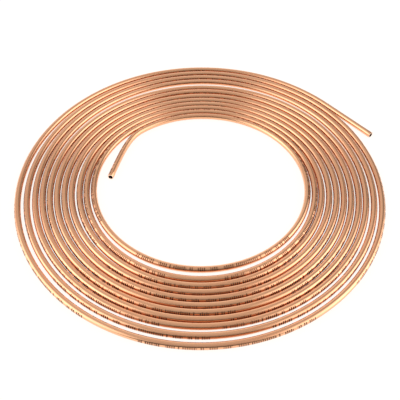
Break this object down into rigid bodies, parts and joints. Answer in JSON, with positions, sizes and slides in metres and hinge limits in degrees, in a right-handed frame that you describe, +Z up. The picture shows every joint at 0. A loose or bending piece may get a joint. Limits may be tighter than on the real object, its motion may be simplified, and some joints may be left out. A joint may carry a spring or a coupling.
{
  "type": "copper tube coil",
  "caption": "Flat single-layer spiral coil of bright thin copper tube, wound round an open eye, with both ends free and cut square.",
  "frame": {"origin": "on the floor under the middle of the coil's footprint", "axes": "+Z up through the open eye, +Y to the back, +X to the side where the outer end lies"},
  "size_m": [0.2784, 0.279, 0.0048],
  "materials": {
    "copper": "bright drawn copper, lightly handled"
  },
  "bodies": {
    "root": {"copper_tube": "copper"}
  },
  "joints": []
}
